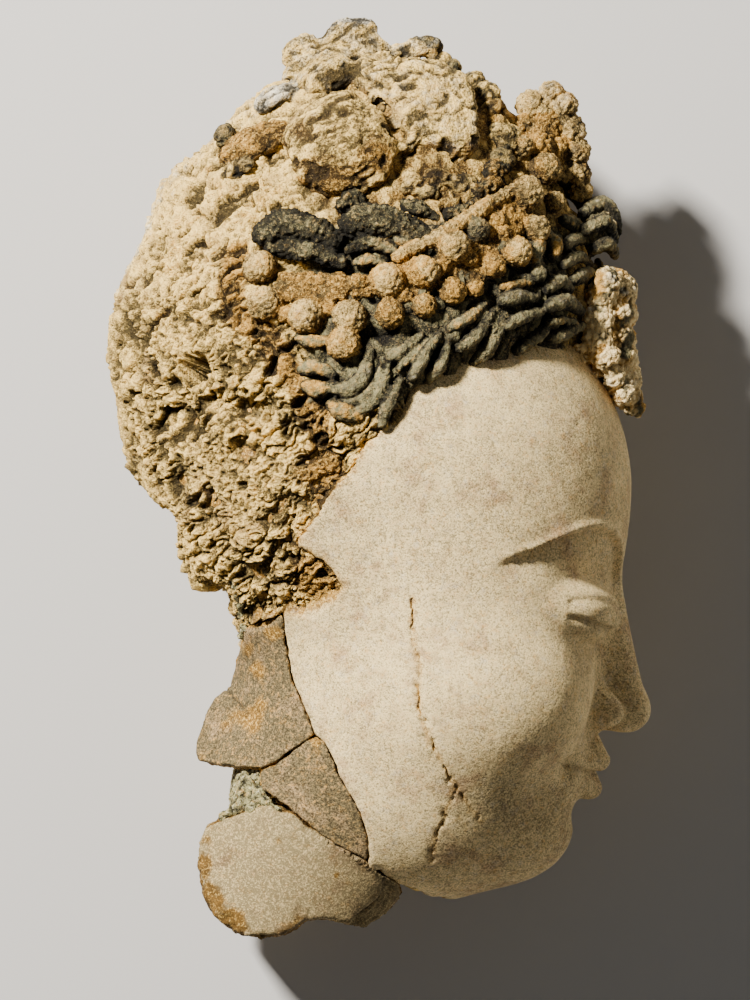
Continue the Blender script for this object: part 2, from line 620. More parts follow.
def mouth(form, q):
    u, v, w = q.T
    form = blend(form, ball(q, (73, -65, 0), (18, 18, 29)), 12)
    form = blend(form, rod(q, (94.4, -61, 3.4), (80, -65.2, 27), 4.9, 1.6), 2)
    form = blend(form, rod(q, (92.6, -72.6, 0), (80, -66.8, 24), 5.6, 1.6), 2)
    form = form + 1.7 * bump(lip_line(q), 0.9) * (1 - ramp(w, 26, 31)) * ramp(u, 66, 74)
    form = carve(form, ball(q, (86, -65.8, 30), (5, 3.5, 4)), 7)
    groove = bump(w, 2.4) * ramp(v, -60, -57) * (1 - ramp(v, -51, -48))
    form = form + groove * ramp(u, 70, 80)
    return carve(form, ball(q, (98, -83, 0), (9, 4, 16)), 6)


def skin(points):
    q = face_points(points)
    form = skull_and_neck(q)
    for feature in (nose, eye, brow, mouth):
        form = feature(form, q)
    return form


def hair_core(points):
    x, y, w = points.T
    w = np.abs(w)
    back_or_front = np.where(x < 0, HAIR_BACK, HAIR_FRONT)
    side = HAIR_SIDE - 21 * ramp(y, -30, 110) - 8 * ramp(x, 0, 80)
    near = np.sqrt((x / back_or_front) ** 2 + (y / HAIR_RISE) ** 2 + (w / side) ** 2)
    form = (near - 1) * 80
    for px, py, radius, depth in HOLLOWS:
        reach = spot_distance(points, (px, py)) / (radius * UNITS_PER_PIXEL)
        form = form + depth * bump(reach, 0.75) * ramp(w, 10, 30)
    return form


def core_surface(points, finished, edge):
    """The rough clay: proud of the skin under the hair and just below it by the ear."""
    step = -2.2 + 5.2 * ramp(points[:, 1], -42, -12)
    limit = finished - step - 0.9 * np.maximum(edge, 0)
    limit = np.where(edge < 0, np.maximum(limit, finished + 3), limit)
    return np.maximum(np.minimum(hair_core(points), finished + 2.5), limit)


def broken_off(form, points, back=0):
    """Takes away the nape, what lay below the neck's seam, and all below the floor.

    The broken face is set back by this much more.
    """
    rough = 1.8 * grain(points, 9, 3) + 0.9 * grain(points, 3.2, 4)
    away = -outline_distance(points, LOST) - rough * 0.8 + back
    ragged_edge = 0.5 * grain(points, 3.5, 17) + 0.3 * grain(points, 1.5, 18)
    pocket = np.minimum(-outline_distance(points, SOCKET) + ragged_edge, points[:, 2] + 25)
    below_floor = -points[:, 2] - sizes().median_height / unit()
    return np.maximum.reduce([form, away, pocket, below_floor])


def pulled(rays, field, start=240.0, stride=0.72, near_enough=0.02, most_steps=70):
    """Points where rays from the middle of the head meet a form."""
    reach = np.full(len(rays), start)
    moving = np.ones(len(rays), bool)
    for _ in range(most_steps):
        points = np.array(BALL_CENTRE) + rays[moving] * reach[moving, None]
        gap = field(points)
        reach[moving] -= stride * gap
        moving[moving] = np.abs(gap) > near_enough
        if not moving.any():
            break
    return np.array(BALL_CENTRE) + rays * reach[:, None]


def rays_of(clay):
    rays = np.array([vertex.co[:] for vertex in clay.verts])
    return rays / length(rays)[:, None]


def pull_out(clay, field):
    """Pulls a ball's corners out to a form, and gives their places in units."""
    points = pulled(rays_of(clay), field)
    for vertex, place in zip(clay.verts, from_units(points)):
        vertex.co = place
    return points


def carved_ball(name, field, finer):
    """A ball pulled out to a form, with smaller faces wherever finer says so."""
    clay = bmesh.new()
    bmesh.ops.create_icosphere(clay, subdivisions=5, radius=1)
    for wanted in finer:
        clay.verts.index_update()
        chosen = wanted(pulled(rays_of(clay), field))
        edges = [
            edge for edge in clay.edges
            if chosen[edge.verts[0].index] and chosen[edge.verts[1].index]
        ]
        bmesh.ops.subdivide_edges(clay, edges=edges, cuts=1, use_grid_fill=True)
    bmesh.ops.triangulate(clay, faces=clay.faces)
    points = pull_out(clay, field)
    mesh = bpy.data.meshes.new(name)
    clay.to_mesh(mesh)
    clay.free()
    return mesh, points


# Pieces and their colour masks


def new_object(name, data):
    obj = bpy.data.objects.new(name, data)
    bpy.context.scene.collection.objects.link(obj)
    return obj


def add_piece(name, mesh, material, nodes=()):
    obj = new_object(name, mesh)
    mesh.materials.clear()
    mesh.materials.append(material)
    mesh.shade_smooth()
    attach(obj, "root")
    if nodes:
        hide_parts(*nodes)
    return obj


def paint(mesh, **shares):
    """Writes the masks that the finishes read, from 0 to 1. A mask left out is 0."""
    for name in MASKS:
        values = np.zeros(len(mesh.vertices), np.float32)
        values[:] = np.clip(shares.get(name, 0), 0, 1)
        mesh.attributes.new(name, "FLOAT", "POINT").data.foreach_set("value", values)


def mesh_points(mesh):
    places = np.empty(len(mesh.vertices) * 3, np.float32)
    mesh.vertices.foreach_get("co", places)
    return places.reshape(-1, 3).astype(float)


def mesh_normals(mesh):
    normals = np.empty(len(mesh.vertices) * 3, np.float32)
    mesh.vertex_normals.foreach_get("vector", normals)
    return normals.reshape(-1, 3).astype(float)


def set_points(mesh, places):
    mesh.vertices.foreach_set("co", places.astype(np.float32).ravel())
    mesh.update()


def pushed_out(mesh, units):
    """The mesh's places, each moved along its normal."""
    return mesh_points(mesh) + mesh_normals(mesh) * (units * unit())[:, None]


def wear(mesh, units):
    """Moves the surface out along its normals, and keeps it above the floor."""
    places = pushed_out(mesh, units)
    places[:, 2] = np.maximum(places[:, 2], FLOOR_GAP)
    set_points(mesh, places)


def remeshed(name, clay, voxel, smoothing, least_corners=300):
    """The loose forms in a bmesh fused into one skin, then softened."""
    mesh = bpy.data.meshes.new(name)
    clay.to_mesh(mesh)
    clay.free()
    draft = new_object(name + "_draft", mesh)
    fuse = draft.modifiers.new("fuse", "REMESH")
    fuse.mode = "VOXEL"
    fuse.voxel_size = voxel
    soften = draft.modifiers.new("soften", "SMOOTH")
    soften.factor = 0.5
    soften.iterations = smoothing
    graph = bpy.context.evaluated_depsgraph_get()
    fused = bpy.data.meshes.new_from_object(draft.evaluated_get(graph))
    fused.name = name
    bpy.data.objects.remove(draft)
    drop_scraps(fused, least_corners)
    return fused


def drop_scraps(mesh, least):
    """Takes away the loose bits with fewer corners than this."""
    clay = bmesh.new()
    clay.from_mesh(mesh)
    unseen = set(clay.verts)
    scraps = []
    while unseen:
        bit = {unseen.pop()}
        front = list(bit)
        while front:
            vert = front.pop()
            for edge in vert.link_edges:
                other = edge.other_vert(vert)
                if other in unseen:
                    unseen.discard(other)
                    bit.add(other)
                    front.append(other)
        if len(bit) < least:
            scraps.extend(bit)
    if scraps:
        bmesh.ops.delete(clay, geom=scraps, context="VERTS")
        clay.to_mesh(mesh)
    clay.free()


def crumbled(mesh, depth, coarse, fine, seed):
    """Wears the surface in and out by a depth in metres, and gives its relief."""
    points = mesh_points(mesh) / unit()
    crumb, seam = clods(points, fine, seed + 3)
    relief = 0.9 * grain(points, coarse, seed) + 1.3 * (0.55 - crumb)
    relief += 0.45 * grain(points, fine * 0.6, seed + 2) - 0.35 * (1 - ramp(seam, 0, 0.2))
    wear(mesh, relief * depth / unit())
    return relief


class Seats:
    """The plain head, on which the parts of the hair are seated."""

    def __init__(self):
        def plain(points):
            finished = skin(points)
            edge = outline_distance(points, HAIRLINE)
            mass = core_surface(points, finished, edge)
            return np.where(edge > 0, mass, np.minimum(mass, finished))

        clay = bmesh.new()
        bmesh.ops.create_icosphere(clay, subdivisions=6, radius=1)
        pull_out(clay, plain)
        add_forelock(clay)
        self.tree = BVHTree.FromBMesh(clay)
        clay.free()

    def seat(self, pixel, side=1):
        """Where a pixel meets the head on one side, and which way the head faces there."""
        middle = over_spot(pixel, sizes().median_height)
        start = middle + Vector((0, 0, side * RAY_START))
        hit, normal, _, _ = self.tree.ray_cast(start, Vector((0, 0, -side)))
        if hit is None:
            return middle, over_spot(pixel, 0).normalized()
        return hit, normal

    def height(self, places):
        """How far places stand above the plain head, in metres."""
        heights = []
        for place in places:
            below, normal, _, _ = self.tree.find_nearest(Vector(place))
            heights.append((Vector(place) - below).dot(normal))
        return np.array(heights)


SHARED = {}


def seats():
    if "seats" not in SHARED:
        SHARED["seats"] = Seats()
    return SHARED["seats"]


def tangent_frame(normal, turn):
    across = Vector((math.cos(turn), math.sin(turn), 0))
    across = (across - normal * across.dot(normal)).normalized()
    return Matrix((across, normal.cross(across), normal)).transposed().to_4x4()


def add_ball(clay, centre, radii, turned=None, subdivisions=3):
    place = Matrix.Translation(centre) @ (turned or Matrix.Identity(4))
    place = place @ Matrix.Diagonal((*radii, 1))
    bmesh.ops.create_icosphere(clay, subdivisions=subdivisions, radius=1, matrix=place)


def rounded_route(points, count):
    """A smooth route through the points, in this many steps."""
    padded = [2 * points[0] - points[1], *points, 2 * points[-1] - points[-2]]
    spans = len(points) - 1
    route = []
    for step in range(count + 1):
        place = step * spans / count
        i = min(int(place), spans - 1)
        t = place - i
        a, b, c, d = padded[i : i + 4]
        curved = (2 * a - 5 * b + 4 * c - d) * t**2 + (3 * b - a - 3 * c + d) * t**3
        route.append(0.5 * (2 * b + (c - a) * t + curved))
    return route


def add_tube(clay, points, radii):
    """A round strand through the points, as a bevelled curve with a ball at each end."""
    route = rounded_route(points, STRAND_STEPS)
    curve = bpy.data.curves.new("strand", "CURVE")
    curve.dimensions = "3D"
    curve.bevel_depth = 1
    curve.bevel_resolution = 3
    curve.use_fill_caps = True
    spline = curve.splines.new("POLY")
    spline.points.add(STRAND_STEPS)
    stations = np.linspace(0, 1, len(radii))
    for i, point in enumerate(route):
        spline.points[i].co = (*point, 1)
        spline.points[i].radius = float(np.interp(i / STRAND_STEPS, stations, radii))
    tube = new_object("strand", curve)
    graph = bpy.context.evaluated_depsgraph_get()
    mesh = bpy.data.meshes.new_from_object(tube.evaluated_get(graph))
    bpy.data.objects.remove(tube)
    clay.from_mesh(mesh)
    for end in (0, -1):
        add_ball(clay, route[end], (radii[end],) * 3, subdivisions=2)


def add_forelock(clay):
    """The curl and the lock on the middle of the forehead, swelling to both sides."""
    for x, y, radius in FORELOCK:
        size = metres(radius)
        centre = over_spot((x, y), sizes().median_height)
        add_ball(clay, centre, (size, size, size * 1.6))


def add_slab(clay, outline, thickness, side, dome=0.0):
    """A worn flat lump with the given outline, sunk a little into the head."""
    placed = [seats().seat(pixel, side) for pixel in outline]
    normal = sum((n for _, n in placed), Vector()).normalized()
    thick = metres(thickness)
    verts = [clay.verts.new(point - normal * thick * 0.6) for point, _ in placed]
    bottom = list(verts)
    top = clay.faces.new(verts)
    for shrink, rise in ((1.0, 1.15), (0.93, 0.25), (0.80, 0.12 + dome), (0.55, 0.05 + dome)):
        grown = bmesh.ops.extrude_face_region(clay, geom=[top])
        top = next(item for item in grown["geom"] if isinstance(item, bmesh.types.BMFace))
        verts = [item for item in grown["geom"] if isinstance(item, bmesh.types.BMVert)]
        bmesh.ops.translate(clay, verts=verts, vec=normal * thick * rise)
        middle = sum((vert.co for vert in verts), Vector()) / len(verts)
        bmesh.ops.scale(clay, verts=verts, vec=(shrink,) * 3, space=Matrix.Translation(-middle))
    bmesh.ops.contextual_create(clay, geom=bottom)


def add_tip(clay, outline, thickness):
    """A flat plate sloping down to the back, to lengthen the upper jaw piece."""
    upper = []
    for pixel in outline:
        z = 17.5 + 0.5 * (pixel[0] - 240) + 0.229 * (pixel[1] - 690)
        upper.append(over_spot(pixel, z * unit() + sizes().median_height))
    top = [clay.verts.new(point) for point in upper]
    bottom = [clay.verts.new(point - Vector((0, 0, thickness * unit()))) for point in upper]
    clay.faces.new(top[::-1])
    clay.faces.new(bottom)
    for i, after in enumerate([*range(1, len(top)), 0]):
        clay.faces.new((top[i], top[after], bottom[after], bottom[i]))


# Finishes


def new_finish(name):
    material = bpy.data.materials.new(name)
    material.use_nodes = True
    tree = material.node_tree
    shader = tree.nodes["Principled BSDF"]
    shader.inputs["Specular IOR Level"].default_value = 0.25
    return material, tree, shader


def add_node(tree, kind, inputs, output, **settings):
    """A shader node with its settings and inputs, given as the output that is read."""
    node = tree.nodes.new(kind)
    for name, value in settings.items():
        setattr(node, name, value)
    for name, value in inputs.items():
        if isinstance(value, (int, float, tuple)):
            node.inputs[name].default_value = value
        else:
            tree.links.new(value, node.inputs[name])
    return node.outputs[output]


def noise(tree, place, scale, detail=4, roughness=0.6, stretch=None, turn=None, drift=0):
    if stretch:
        mapping = {"Scale": stretch, "Rotation": turn, "Vector": place}
        place = add_node(tree, "ShaderNodeMapping", mapping, "Vector")
    inputs = {
        "Distortion": drift, "Scale": scale, "Detail": detail, "Roughness": roughness,
        "Vector": place,
    }
    return add_node(tree, "ShaderNodeTexNoise", inputs, "Fac")


def stepped(tree, value, low, high, to_low=0.0, to_high=1.0):
    inputs = {
        "From Min": low, "From Max": high, "To Min": to_low, "To Max": to_high, "Value": value,
    }
    return add_node(tree, "ShaderNodeMapRange", inputs, "Result", interpolation_type="SMOOTHSTEP")


def math_node(tree, operation, a, b):
    return add_node(tree, "ShaderNodeMath", {0: a, 1: b}, "Value", operation=operation)


def mixed(tree, share, first, second, mode="MIX"):
    inputs = {"Factor": share, "A": first, "B": second}
    return add_node(tree, "ShaderNodeMix", inputs, "Result", data_type="RGBA", blend_type=mode)


def rgba(values, gain=1.0):
    return (*(min(v * gain, 1) for v in values), 1.0)


def layered(tree, surface, layers):
    """Tints laid one over another where a noise is high: noise, low, high, share, tint, gain."""
    for value, low, high, share, tint, gain in layers:
        share = stepped(tree, value, low, high, 0, share)
        surface = mixed(tree, share, surface, rgba(tint, gain))
    return surface


def painted(tree, name):
    """A mask read from the mesh."""
    return add_node(tree, "ShaderNodeAttribute", {}, "Fac", attribute_name=name)


def ragged(tree, name, edge_noise, softness):
    """A mask read from the mesh, with its edge broken up by a noise."""
    shifted = math_node(tree, "SUBTRACT", edge_noise, 0.5)
    total = math_node(tree, "ADD", painted(tree, name), shifted)
    return stepped(tree, total, 0.5 - softness, 0.5 + softness)


def bumped(tree, height, distance, strength, before=None):
    inputs = {"Distance": distance, "Strength": strength, "Height": height}
    if before is not None:
        inputs["Normal"] = before
    return add_node(tree, "ShaderNodeBump", inputs, "Normal")


def clay_finish(name, light, deep, speck, patch_size, speck_size, bump_height, straw=0.0,
                deep_share=0.5, speck_share=0.5, tone_range=(0.12, 1.35)):
    """Dry clay: patches of two tints, specks, straw marks, and masks for what lies on it."""
    c = bpy.context.scene.clay_colours
    material, tree, shader = new_finish(name)
    place = tree.nodes.new("ShaderNodeTexCoord").outputs["Object"]
    broad = noise(tree, place, 1 / patch_size, 5, 0.62)
    fine = noise(tree, place, 1 / speck_size, 3, 0.7)
    middle = noise(tree, place, 1 / (speck_size * 4), 4, 0.65)
    dust = noise(tree, place, 1 / (speck_size * 0.5), 2, 0.8)
    warmth = noise(tree, place, 1 / (speck_size * 2.3), 4, 0.75)
    edge_noise = noise(tree, place, 260, 4, 0.65)
    low = 0.62 - 0.25 * deep_share
    surface = layered(tree, rgba(light), (
        (broad, low, low + 0.22, 1, deep, 1),
        (middle, 0.5, 0.72, 0.55, deep, 0.8),
        (fine, 0.56, 0.7, speck_share, speck, 1),
        (fine, 0.44, 0.30, 0.5, light, 1.25),
        (warmth, 0.53, 0.68, 0.4, c.ochre, 1.45),
        (warmth, 0.46, 0.33, 0.35, light, 1.3),
    ))
    normal = bumped(tree, middle, bump_height * 3, 0.9)
    normal = bumped(tree, fine, bump_height * 1.6, 1.0, normal)
    if straw:
        # Marks: noise, share, darkness, depth in metres, strength of the relief
        holes = stepped(tree, noise(tree, place, 420, 3, 0.75), 0.40, 0.31)
        marks = [(holes, 0.7, 0.4, -0.0009, 0.9)]
        for turn in ((0.3, 0.2, 0.5), (1.1, 0.5, 1.7), (0.6, 1.3, 2.6)):
            stalks = noise(tree, place, 620, 1, 0.4, (1, 0.22, 0.6), turn, 1.2)
            marks.append((stepped(tree, stalks, 0.70, 0.76), 0.4, 0.5, -0.0006, 0.8))
        for mark, share, gain, depth, strength in marks:
            share = math_node(tree, "MULTIPLY", mark, share)
            surface = mixed(tree, share, surface, rgba(deep, gain))
            normal = bumped(tree, mark, depth * straw, strength, normal)
    covers = (
        ("ochre", 0.2, c.ochre, (
            (middle, 0.4, 0.62, 1, c.ochre, 0.62), (fine, 0.5, 0.66, 0.5, c.straw, 1),
        )),
        ("pigment", 0.2, c.lock_green, (
            (middle, 0.38, 0.6, 1, c.lock_dark, 1.5), (fine, 0.52, 0.66, 0.4, c.bead, 0.8),
        )),
        ("pale", 0.25, c.crust, ((fine, 0.45, 0.65, 1, c.crust, 0.75),)),
    )
    for cover, softness, tint, layers in covers:
        tints = layered(tree, rgba(tint), layers)
        surface = mixed(tree, ragged(tree, cover, edge_noise, softness), surface, tints)
    dirt = math_node(tree, "MULTIPLY", painted(tree, "shade"), 0.92)
    surface = mixed(tree, dirt, surface, rgba(c.lock_dark, 0.8))
    specks = math_node(tree, "SUBTRACT", math_node(tree, "ADD", fine, dust), 1.0)
    specks = math_node(tree, "MULTIPLY", specks, 1.35)
    tone = math_node(tree, "ADD", painted(tree, "tone"), specks)
    tone = stepped(tree, tone, 0.0, 1.0, *tone_range)
    grey = {channel: tone for channel in ("Red", "Green", "Blue")}
    grey = add_node(tree, "ShaderNodeCombineColor", grey, "Color")
    surface = mixed(tree, 1.0, surface, grey, "MULTIPLY")
    roughness = stepped(tree, fine, 0.3, 0.7, 0.97, 0.82)
    outputs = (("Base Color", surface), ("Normal", normal), ("Roughness", roughness))
    for socket, value in outputs:
        tree.links.new(value, shader.inputs[socket])
    return material


def finish(kind):
    """One of the head's finishes, made the first time it is asked for."""
    found = bpy.data.materials.get(kind)
    if found:
        return found
    c = bpy.context.scene.clay_colours
    # Light, deep and speck tints, sizes of patches and specks and height of the bumps in
    # metres, straw marks, shares of the deep tint and specks, and the range of the tone
    recipes = {
        "fine_skin": (
            c.skin, c.skin_tan, c.skin_tan, 0.014, 0.0013, 0.00008, 0.0, 0.5, 0.8, (0.25, 1.35)
        ),
        "set_skin": (
            c.set_skin, c.skin_tan, c.ochre, 0.016, 0.0013, 0.00010, 0.0, 0.4, 0.7, (0.2, 1.4)
        ),
        "straw_clay": (c.straw, c.straw_deep, c.straw_deep, 0.022, 0.0012, 0.0007, 1.0, 0.45, 0.6),
        "hair_clay": (c.lock_green, c.lock_dark, c.bead, 0.012, 0.0010, 0.0005, 0.0, 0.4, 0.65),
        "bead_clay": (c.bead, c.ochre, c.straw_deep, 0.010, 0.0010, 0.0005, 0.4, 0.45, 0.5),
        "mortar_grains": (
            c.mortar, c.lock_dark, c.crust, 0.006, 0.0012, 0.0005, 0.0, 0.3, 0.5, (0.1, 1.5)
        ),
        "forelock_clay": (
            c.skin, c.ochre, c.skin_tan, 0.006, 0.0011, 0.0005, 0.4, 0.3, 0.4, (0.45, 1.4)
        ),
    }
    return clay_finish(kind, *recipes[kind])


# Operators


class HEAD_OT_skin(bpy.types.Operator):
    """Build the fine clay skin with the face, and the cracks and breaks in it"""

    bl_idname = "clay_head.skin"
    bl_label = "Skin and Face"

    def execute(self, context):
        thickness = sizes().skin_thickness / unit()
        crack_depth = sizes().crack_depth / unit()

        def surface(points):
            form = skin(points)
            near = near_side(points)
            shifts = 1.3 * stray(points, 4, (14, 15)) + 0.5 * stray(points, 1.6, (12, 13))
            fresh = 0.15 + 0.85 * ramp(grain(points, 6, 16), -0.3, 0.4)
            flakes = np.maximum(grain(points, 2.0, 19), 0)
            for line in CHEEK_CRACKS:
                away = line_distance(points + shifts, line)
                depth = crack_depth * fresh * bump(away, 0.3) + 0.9 * flakes * bump(away, 1.3)
                form = form + near * depth
            for x, y, radius in PITS:
                form = form + near * 0.9 * bump(spot_distance(points, (x, y)), radius * 0.3)
            return form + 0.16 * grain(points, 14, 8) + 0.07 * grain(points, 3, 9)

        def field(points):
            finished = surface(points)
            edge = outline_distance(points, HAIRLINE)
            edge = edge + 1.1 * grain(points, 5, 5) + 0.5 * grain(points, 1.8, 6)
            shown = -blend(-finished, -edge, 1.2)
            behind = 7 * ramp(edge, -1, 4)
            return broken_off(np.minimum(shown, finished + thickness), points, behind)

        def shown(points):
            return (outline_distance(points, HAIRLINE) < 5) & (points[:, 2] > -66)

        def close(points):
            u, v, w = face_points(points).T
            features = (u > 52) & (v > -100) & (v < 34) & (w < 66)
            cracks = line_distance(points, *CHEEK_CRACKS) < 3
            rim = np.abs(outline_distance(points, SOCKET)) < 2.5
            skinned = outline_distance(points, HAIRLINE) < 3
            return (points[:, 2] > -2) & (features | cracks | rim) & skinned

        def cracked(points):
            return near_side(points) & (line_distance(points, *CHEEK_CRACKS) < 1.6)

        mesh, points = carved_ball("face_skin", field, (shown, shown, close, cracked))
        finished = skin(points)
        edge = outline_distance(points, HAIRLINE)
        inner = np.clip(-finished - 0.9, 0, 1.2)
        relief, _ = rough_clay(points, 21)
        sunk = np.minimum(0.7 * relief - 0.8, 0) * ramp(-finished, 1.5, 4) * (edge < 2)
        set_points(mesh, pushed_out(mesh, sunk))
        cracks = line_distance(points, *CHEEK_CRACKS)
        near = near_side(points)
        deep = np.clip(-finished - 0.3, 0, 3) * bump(cracks, 1.5) * near
        q = face_points(points)
        u, v, w = q.T
        span, upper, lower = lid_lines(q)
        slit = ramp(span, 0.02, 0.3) * ramp(v, lower - 0.5, upper - 1.2)
        slit = slit * (1 - ramp(v, upper - 0.6, upper + 0.4)) * (u > 45)
        lips = bump(lip_line(q), 0.9) * (w < 28) * (u > 66)
        low_jaw = ramp(-v, 40, 100) * ramp(u, 20, 60)
        tone = 0.56 - 0.14 * low_jaw + 0.10 * grain(points, 20, 33) + 0.08 * grain(points, 6, 34)
        paint(
            mesh,
            ochre=0.55 * ramp(edge, -9, 1) + inner + 0.5 * bump(cracks, 3) * near,
            pale=0.25,
            shade=0.35 * np.maximum(deep, slit + lips),
            tone=tone + 0.12 * relief * np.minimum(inner, 1),
        )
        add_piece("face_skin", mesh, finish("fine_skin"), ["head"])
        return {"FINISHED"}


class HEAD_OT_core(bpy.types.Operator):
    """Build the bare straw clay of the back of the head"""

    bl_idname = "clay_head.core"
    bl_label = "Straw Clay Core"

    def execute(self, context):
        def field(points):
            edge = outline_distance(points, HAIRLINE)
            return broken_off(core_surface(points, skin(points), edge), points)

        def bare(points):
            return (outline_distance(points, HAIRLINE) > -4) & (points[:, 0] < 75)

        def seen(points):
            return bare(points) & (points[:, 2] > -45)

        def near(points):
            x, y, w = points.T
            hidden_by_hair = (x > -36) & (y > -8) & (outline_distance(points, HAIRLINE) > 9)
            return bare(points) & (w > -4) & ~hidden_by_hair

        def shown_above(points):
            return near(points) & (points[:, 2] > 27) & (outline_distance(points, LOST) > -1)

        mesh, points = carved_ball("straw_core", field, (bare, seen, near, shown_above))
        open_clay = 0.12 + 0.88 * ramp(outline_distance(points, HAIRLINE), -1, 3)
        relief, crumbs = rough_clay(points, 20)
        ragged_reach = 0.8 * grain(points, 3, 22)
        hollow = 3 * bump(line_distance(points, GAP_ABOVE_BAND), 2.4)
        for x, y, radius, depth in CORE_PITS:
            reach = spot_distance(points, (x, y)) + ragged_reach
            hollow = np.maximum(hollow, depth * bump(reach, radius * UNITS_PER_PIXEL))
        hollow = hollow * near_side(points)
        wear(mesh, 1.15 * open_clay * relief - hollow)
        x, y, w = points.T
        stain = bump(spot_distance(points, EAR), 13)
        stain = stain + 0.8 * bump(line_distance(points, STAIN_BEHIND_TEMPLE), 7)
        stain = stain + 0.9 * bump(line_distance(points, STAIN_UNDER_BAND), 6.5)
        stain = stain + 0.45 * ramp(grain(points, 11, 30), 0.3, 0.9)
        stain = stain + 0.5 * ramp(y, 25, 45) * ramp(x, -45, -20)
        under_waves = ramp(y, -22, -8) * ramp(x, -42, -30)
        under_waves = under_waves * (1 - ramp(y, 52, 60)) * (1 - ramp(x, 60, 72))
        rim = 0.8 * bump(w - 4, 14) * ramp(-x, 30, 60) * ramp(y, 20, 55)
        rim = rim + 0.5 * bump(w, 10) * ramp(-x, 90, 105)
        dark = np.clip(-0.34 * crumbs - 0.12, 0, 0.7) * open_clay
        upper_back = ramp(y, 20, 60) * ramp(-x, 30, 60)
        paint(
            mesh,
            ochre=stain - 0.16 * crumbs,
            pigment=0.95 * under_waves,
            pale=rim * 0.45 + np.clip(0.22 * crumbs - 0.05, 0, 0.3),
            shade=np.maximum(dark, np.clip(0.26 * hollow - 0.15, 0, 0.85)),
            tone=0.56 + 0.6 * crumbs + 0.4 * upper_back,
        )
        add_piece("straw_core", mesh, finish("straw_clay"))
        return {"FINISHED"}


def masks_from(places, entries):
    """Colour shares at places, from the part of the hair that each belongs to.

    Each entry is a centre, a radius, its shares and its outward direction. The second
    result is how near each place is to the top of its part, from -1 to 1.
    """
    best = np.full(len(places), NOWHERE)
    chosen = np.zeros((len(places), len(entries[0][2])))
    top = np.zeros(len(places))
    for centre, radius, share, outward in entries:
        away = places - centre
        score = length(away) / radius
        closer = score < best
        best[closer] = score[closer]
        chosen[closer] = share
        top[closer] = (away[closer] @ np.array(outward)) / radius
    return chosen, top


class HEAD_OT_locks(bpy.types.Operator):
    """Build the locks over the forehead and the waves above the diadem"""

    bl_idname = "clay_head.locks"
    bl_label = "Locks and Waves"

    def execute(self, context):
        for side, label, mesh_size in SIDES:
            clay = bmesh.new()
            entries = []
            for strands, lift in ((STRANDS, 0.5), (WAVES, 0.35)):
                for radius, green, *places in strands:
                    size = metres(radius) * 0.93
                    seated = [seats().seat(place, side) for place in places]
                    lifts = np.interp(np.linspace(0, 1, len(seated)), (0, 0.4, 1), (0.9, 1.1, 0.1))
                    points = [
                        point + normal * size * lift * rise
                        for (point, normal), rise in zip(seated, lifts)
                    ]
                    add_tube(clay, points, [size * share for share in (0.8, 1.1, 1.05, 0.9, 0.65)])
                    outward = sum((normal for _, normal in seated), Vector()).normalized()
                    for point in rounded_route(points, STRAND_STEPS):
                        entries.append((tuple(point), size, (green,), outward))
            mesh = remeshed("locks_" + label, clay, getattr(sizes(), mesh_size), 1)
            x, y, _ = to_units(mesh_points(mesh)).T
            wave = ramp(y - 0.42 * x, 47, 56)
            relief = crumbled(mesh, sizes().crumble * (0.6 + 1.1 * wave), 5, 2.2, 40)
            shares, top = masks_from(mesh_points(mesh), entries)
            green = shares[:, 0]
            ridge = ramp(top, 0.2, 1.0)
            paint(
                mesh,
                ochre=0.55 * (1 - green) + 0.3 * relief,
                pigment=0.15 + 0.45 * green,
                pale=0.2 * ridge * green * (1 - wave) + 0.1 * relief,
                shade=np.clip(0.95 - 1.2 * ridge, 0, 0.95),
                tone=0.36 + 0.62 * ridge + 0.35 * relief - 0.7 * wave,
            )
            add_piece("locks_" + label, mesh, finish("hair_clay"))
        return {"FINISHED"}


class HEAD_OT_diadem(bpy.types.Operator):
    """Build the diadem with its beads, plaques and band"""

    bl_idname = "clay_head.diadem"
    bl_label = "Diadem"

    def execute(self, context):
        for side, label, mesh_size in SIDES:
            clay = bmesh.new()
            entries = []
            for x, y, radius, pale, grey in BEADS:
                point, normal = seats().seat((x, y), side)
                size = metres(radius)
                centre = point + normal * size * 0.45
                add_ball(clay, centre, (size, size, size))
                entries.append((tuple(centre), size, (pale, grey), normal))
            for outline, thickness in PLAQUES:
                add_slab(clay, outline, thickness, side)
                point, normal = seats().seat(np.mean(outline, axis=0), side)
                entries.append((tuple(point), metres(24), (0.1, 0.0), normal))
            seated = [seats().seat(place, side) for place in BAND]
            points = [point + normal * metres(6) for point, normal in seated]
            add_tube(clay, points, [metres(share) for share in (6, 8, 8, 8, 7)])
            for point in rounded_route(points, 12):
                entries.append((tuple(point), metres(8), (0.7, 0.0), seated[2][1]))
            mesh = remeshed("diadem_" + label, clay, getattr(sizes(), mesh_size), 2)
            relief = crumbled(mesh, sizes().crumble, 5.5, 2.0, 50)
            shares, top = masks_from(mesh_points(mesh), entries)
            pale, grey = shares.T
            top = ramp(top, -0.3, 0.9)
            paint(
                mesh,
                ochre=0.85 - 0.75 * pale * top + 0.35 * relief,
                pigment=0.8 * grey,
                pale=0.22 * pale * top,
                shade=np.clip(0.75 - 1.8 * top, 0, 0.8),
                tone=0.3 + 0.28 * top + 0.38 * relief,
            )
            add_piece("diadem_" + label, mesh, finish("bead_clay"))
        return {"FINISHED"}


